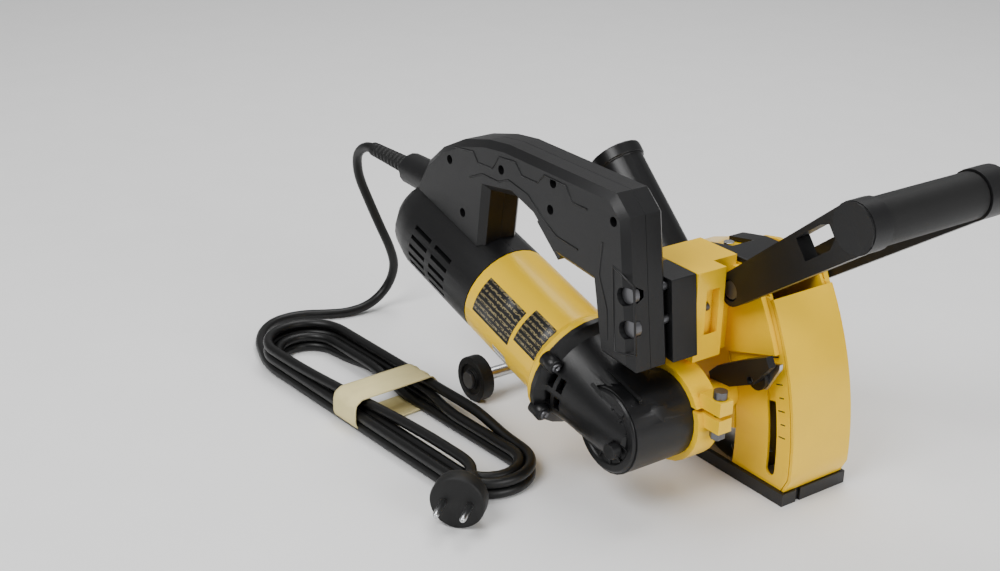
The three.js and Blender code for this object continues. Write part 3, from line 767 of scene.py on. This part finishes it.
@dataclass
class Guard(Assembly):
    """Shoe, outer guard, pivot, spring and outrigger."""

    def build(self) -> None:
        """Dress the base and add the scale's ticks."""
        self.dress(SHOE_PAINT, "shoe_plate", edge=1.0)
        self.dress(YELLOW_PAINT, "outer_guard_near", "outer_guard_far", "outer_guard_band", edge=0.8)
        self.dress(BRIGHT_STEEL, "pivot_pin", "return_spring", "outrigger_bar", edge=0.3)
        self.dress(DARK_STEEL, "roller_screw", edge=0.3)
        self.dress(SOFT_RUBBER, "outrigger_roller", edge=0.8)
        self.build_scale()

    def build_scale(self) -> None:
        """Print the depth scale's ticks beside the arc slot."""
        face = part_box("outer_guard_near")[0][1]
        marks = bmesh.new()
        for step in range(9):
            angle = math.radians(25.4 - step * 2.45)
            outward = Vector((math.cos(angle), 0.0, math.sin(angle)))
            across = Vector((-outward.z, 0.0, outward.x))
            reach = 228.2 if step % 2 == 0 else 230.2
            corners = [(reach, -0.45), (234.4, -0.45), (234.4, 0.45), (reach, 0.45)]
            ring = [PIVOT + outward * r + across * w for r, w in corners]
            front = [
                marks.verts.new(Vector((p.x * MM + SHIFT.x * MM, face - 0.00012, p.z * MM))) for p in ring
            ]
            rear = [marks.verts.new(v.co + Vector((0, 0.0002, 0))) for v in front]
            marks.faces.new(front)
            marks.faces.new(rear[::-1])
            for i in range(4):
                marks.faces.new((front[i], rear[i], rear[(i + 1) % 4], front[(i + 1) % 4]))
        self.add(mesh_object("depth_scale_ticks", marks, INK, smooth=False), "base")


@dataclass
class PowerUnit(Assembly):
    """Inner hood, depth stop, dust port, gear case and cutting discs."""

    def build(self) -> None:
        """Dress the hood, the stop and everything that turns in them."""
        self.dress(YELLOW_PAINT, "inner_hood_near", "inner_hood_far", edge=1.2)
        self.dress(SATIN_BLACK, "hood_top_strip", "gear_case", "dust_port", edge=1.2)
        self.dress(BLACK_PLASTIC, "depth_lever", edge=1.2)
        self.dress(BRIGHT_STEEL, "hood_screw", "depth_bolt", "depth_pointer", "spindle", "crown_gear",
                   "bearing_spindle_near", "bearing_spindle_hood", "inner_flange", "disc_near", "disc_spacer",
                   "disc_far", "spindle_nut", edge=0.3)
        self.dress(DARK_STEEL, "clamp_bolt", "clamp_nut", edge=0.4)
        self.dress(BLACK_PLASTIC, "lock_button", edge=0.5)
        self.build_nose()

    def build_nose(self) -> None:
        """Add the gear case's stepped nose cover, its ribs and the flange lugs with their screws."""
        to_spindle = motor_matrix() @ Matrix.Rotation(-math.pi / 2, 4, "Z")
        cover = [
            (21.0, 0), (21.0, 30.6), (24.9, 30.6), (26.2, 29.2), (26.2, 24.4), (24.9, 23.6),
            (24.9, 12.4), (26.6, 11.6), (26.6, 7.6), (23.0, 7.4), (23.0, 0),
        ]
        nose = lathe(cover, to_spindle, 72)
        for step in range(12):
            if step in (5, 6):
                continue
            turn = Matrix.Rotation(step * math.tau / 12, 4, "Y")
            shape = Matrix.Translation((18.0, -25.2, 0)) @ Matrix.Diagonal((11.5, 1.6, 2.0, 1))
            bmesh.ops.create_cube(nose, size=1.0, matrix=motor_matrix() @ turn @ shape)
        piece = mesh_object("gear_case_nose", nose, SATIN_BLACK)
        soften(piece, 0.5)
        self.add(piece, "power_unit")
        lugs = bmesh.new()
        for index, degrees in enumerate((30, 150, 210, 330)):
            angle = math.radians(degrees)
            out = Vector((0.0, math.cos(angle) * 43.5, math.sin(angle) * 43.5))
            place = motor_matrix() @ Matrix.Translation(Vector((-60.5, 0, 0)) + out)
            lug = lathe([(-1.4, 0), (-1.4, 6.2), (9.5, 6.2), (10.5, 5.2), (10.5, 0)], place, 24)
            join(lugs, lug)
            head = motor_matrix() @ (Vector((-48.6, 0, 0)) + out)
            forward = (motor_matrix().to_3x3() @ Vector((1, 0, 0))).normalized()
            self.screw(f"flange_screw_{index + 1}", head, forward, 3.6, "power_unit")
        self.add(mesh_object("flange_lugs", lugs, SATIN_BLACK), "power_unit")


@dataclass
class Motor(Assembly):
    """Motor housing, its labels, the rear housing and the armature."""

    def build(self) -> None:
        """Dress the motor and lay its labels on the housing."""
        self.dress(YELLOW_PLASTIC, "motor_housing", edge=1.0)
        self.dress(BLACK_PLASTIC, "rear_housing_near", "rear_housing_far", edge=0.8)
        self.dress(BLACK_PLASTIC, "fan", edge=0.2)
        self.dress(BRIGHT_STEEL, "armature_shaft", "pinion", "armature_core", "bearing_front", "bearing_rear",
                   edge=0.2)
        self.dress(DARK_STEEL, "stator", "brush_near", "brush_far", edge=0.3)
        self.dress(COPPER, "commutator", edge=0.2)
        self.label("plate_large", (66.0, 100.0), (14.0, 56.0), DARK_LABEL)
        self.label("plate_long", (104.0, 150.0), (2.0, 46.0), DARK_LABEL)
        self.label("sticker_pale", (106.0, 122.0), (-38.0, -18.0), PALE_LABEL)

    def label(
        self, name: str, along: tuple[float, float], around: tuple[float, float], finish: Finish,
    ) -> None:
        """Lay a thin label on the round housing.

        Args:
            name: Object name.
            along: First and last distance behind the spindle, in millimetres.
            around: First and last angle above the near side, in degrees.
            finish: Its finish.
        """
        radius = 38.45
        mesh = bmesh.new()
        layer = mesh.loops.layers.uv.new("UVMap")
        columns, rows = 2, 12
        shells = []
        for lift in (0.0, -0.2):
            grid = []
            for i in range(columns):
                line = []
                for j in range(rows + 1):
                    a = math.radians(around[0] + (around[1] - around[0]) * j / rows)
                    x = -(along[0] + (along[1] - along[0]) * i / (columns - 1))
                    spot = Vector((x, -(radius + lift) * math.cos(a), (radius + lift) * math.sin(a)))
                    line.append(mesh.verts.new(motor_matrix() @ spot))
                grid.append(line)
            shells.append(grid)
        top, under = shells
        for j in range(rows):
            face = mesh.faces.new((top[0][j], top[0][j + 1], top[1][j + 1], top[1][j]))
            spots = ((1, j / rows), (1, (j + 1) / rows), (0, (j + 1) / rows), (0, j / rows))
            for loop, (u, v) in zip(face.loops, spots):
                loop[layer].uv = (u, v)
            mesh.faces.new((under[0][j + 1], under[0][j], under[1][j], under[1][j + 1]))
            for i, flip in ((0, False), (1, True)):
                ring = (top[i][j], under[i][j], under[i][j + 1], top[i][j + 1])
                mesh.faces.new(ring[::-1] if flip else ring)
        for j in (0, rows):
            mesh.faces.new((top[0][j], top[1][j], under[1][j], under[0][j]))
        self.add(mesh_object(name, mesh, finish), "power_unit")


@dataclass
class MainHandle(Assembly):
    """The two-shell main handle with its trigger and fixings."""

    FACE = -104.0
    SCREWS = ((-269, 202), (-203, 213), (-142, 221), (-251, 165), (-144, 201), (-76, 214))

    def build(self) -> None:
        """Dress the handle and add its screws."""
        self.dress(BLACK_PLASTIC, "handle_shell_near", "handle_shell_far", edge=1.4)
        self.dress(BLACK_PLASTIC, "handle_spacer", "trigger_switch", edge=0.8)
        self.dress(SATIN_BLACK, "trigger", edge=1.5)
        self.dress(DARK_STEEL, "handle_bolt_upper", "handle_bolt_lower", edge=0.4)
        for index, (x, z) in enumerate(self.SCREWS):
            self.screw(f"handle_screw_{index + 1}", at(x, -98.4, z), Vector((0, -1, 0)), 3.0, "power_unit")
        self.build_panels()

    def bead(self, name: str, points: list[tuple[float, float]], width: float) -> None:
        """Lay a raised zigzag bead along the near shell's face.

        Args:
            name: Object name.
            points: (x, z) corners in working millimetres.
            width: Bead radius in millimetres.
        """
        line = [at(x, self.FACE + 0.25, z) for x, z in points]
        self.add(wire(name, line, width, SATIN_BLACK), "power_unit")

    def build_panels(self) -> None:
        """Add the beads that run along the grip and frame the post's bolts."""
        upper = [
            (-262, 214), (-238, 217), (-232, 210), (-214, 211), (-206, 222), (-186, 224),
            (-178, 216), (-160, 216), (-152, 224), (-128, 224), (-120, 214), (-104, 214),
        ]
        lower = [
            (-242, 196), (-226, 203), (-206, 203), (-194, 208),
            (-170, 204), (-152, 192), (-136, 184), (-112, 182),
        ]
        self.bead("grip_bead_upper", upper, 0.8)
        self.bead("grip_bead_lower", lower, 0.8)
        self.bead("post_bead", [(-86, 196), (-88, 172), (-78, 150), (-76, 128)], 0.8)
        self.bead("post_frame", [(-74, 183), (-52, 176), (-46.5, 128), (-68, 122), (-74, 183)], 0.9)


@dataclass
class FrontHandle(Assembly):
    """The two-armed front handle and its grip."""

    def build(self) -> None:
        """Dress the bail, its sleeve and its pivots."""
        self.dress(BLACK_PLASTIC, "front_handle", edge=1.2)
        self.dress(SOFT_RUBBER, "grip_sleeve", edge=0.8)
        self.dress(DARK_STEEL, "handle_pivot_near", "handle_pivot_far", edge=0.5)


# ---- stage ------------------------------------------------------------------------------------


@dataclass
class Studio:
    """Camera, pale floor and soft lights."""

    def camera(self) -> None:
        """Place the camera at the photograph's viewing angle."""
        data = bpy.data.cameras.new("camera")
        data.lens = 56.05
        data.sensor_width = 36.0
        camera = bpy.data.objects.new("camera", data)
        right = Vector((0.58262, 0.81248, 0.02052))
        up = Vector((-0.33236, 0.21514, 0.91829))
        back = Vector((0.74168, -0.54183, 0.39539))
        camera.matrix_world = Matrix((
            (right.x, up.x, back.x, 0.78968), (right.y, up.y, back.y, -0.71318),
            (right.z, up.z, back.z, 0.57966), (0.0, 0.0, 0.0, 1.0),
        ))
        bpy.context.scene.collection.objects.link(camera)
        bpy.context.scene.camera = camera

    def light(self, name: str, spot: tuple[float, float, float], size: float, power: float) -> None:
        """Add a soft area light aimed at the machine.

        Args:
            name: Object name.
            spot: Where it is, in metres.
            size: Side of its square, in metres.
            power: Watts.
        """
        data = bpy.data.lights.new(name, "AREA")
        data.size = size
        data.energy = power
        lamp = bpy.data.objects.new(name, data)
        aim = Vector((0.0, 0.0, 0.1)) - Vector(spot)
        lamp.matrix_world = Matrix.Translation(spot) @ aim.to_track_quat("-Z", "Y").to_matrix().to_4x4()
        bpy.context.scene.collection.objects.link(lamp)

    def build(self) -> None:
        """Make the stage."""
        self.camera()
        mesh = bmesh.new()
        bmesh.ops.create_grid(mesh, x_segments=2, y_segments=2, size=6.0)
        paper = Finish("floor_paper", (0.86, 0.86, 0.86), 0.7, 0.0, 60.0, 0.01, 0.01)
        floor = mesh_object("floor", mesh, paper)
        self.light("key", (0.3, -1.5, 1.7), 1.0, 36.0)
        self.light("side", (2.0, 0.2, 0.9), 0.9, 24.0)
        self.light("top", (-0.5, 0.5, 2.0), 1.3, 30.0)
        world = bpy.data.worlds.new("world")
        world.use_nodes = True
        world.node_tree.nodes["Background"].inputs["Color"].default_value = (1.0, 1.0, 1.0, 1.0)
        world.node_tree.nodes["Background"].inputs["Strength"].default_value = 0.32
        bpy.context.scene.world = world


def build_shader_groups() -> None:
    """Make every shared shader group."""
    build_grain_group()
    build_mottle_group()
    build_print_group()


def main() -> None:
    """Build every sub-assembly in order."""
    logging.basicConfig(level=logging.INFO, format="%(name)s: %(message)s")
    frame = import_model()
    build_shader_groups()
    Studio().build()
    Lead().build()
    for assembly in (Guard(frame), PowerUnit(frame), Motor(frame), MainHandle(frame), FrontHandle(frame)):
        assembly.build()
        LOG.info("%s: %d pieces", type(assembly).__name__, len(assembly.made))


if __name__ == "__main__":
    main()
